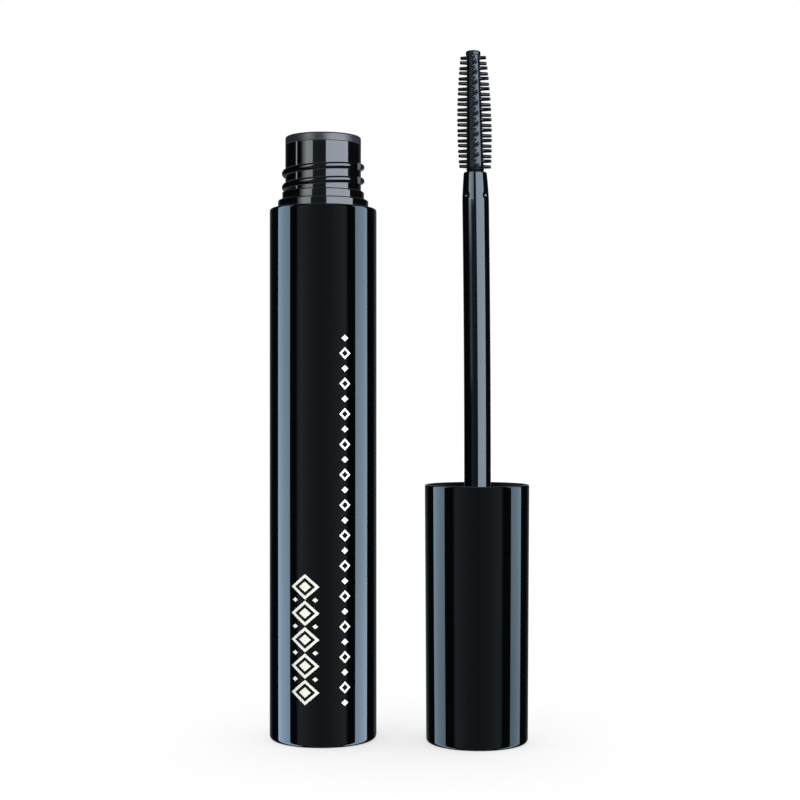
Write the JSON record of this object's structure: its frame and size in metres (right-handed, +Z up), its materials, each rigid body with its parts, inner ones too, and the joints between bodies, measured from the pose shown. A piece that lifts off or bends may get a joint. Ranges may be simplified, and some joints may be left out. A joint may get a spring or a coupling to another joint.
{
  "type": "mascara tube",
  "caption": "Opened mascara tube: an upright round bottle with a threaded neck and wiper, and a wand with a moulded bristle brush standing on its cap.",
  "frame": {"origin": "centre of the bottle's flat base, on the surface that the bottle stands on", "axes": "+Z up along the bottle, +X from the bottle to the wand, -Y towards the front, where the ornament is"},
  "size_m": [0.0424, 0.02, 0.112],
  "materials": {
    "shell_black": "high gloss",
    "neck_black": "gloss",
    "wiper_charcoal": "satin",
    "paste_black": "wet satin",
    "inner_black": "satin",
    "gasket_grey": "matte",
    "rod_black": "gloss",
    "brush_elastomer": "satin"
  },
  "bodies": {
    "bottle": {"bottle_sleeve": "shell_black", "vial": "neck_black", "wiper": "wiper_charcoal", "mascara_paste": "paste_black"},
    "cap_gasket": {"gasket": "gasket_grey"},
    "wand": {"overcap": "shell_black", "inner_cap": "inner_black", "rod": "rod_black", "brush": "brush_elastomer"}
  },
  "joints": [
    {"name": "wand_lift", "type": "slide", "parent": "bottle", "child": "cap_gasket", "axis": [0, 0, 1], "range_m": [0, 0.105]},
    {"name": "wand_turn", "type": "hinge", "parent": "cap_gasket", "child": "wand", "pos_m": [0.0251, -0.0027, 0], "axis": [0, 0, 1], "continuous": true}
  ]
}
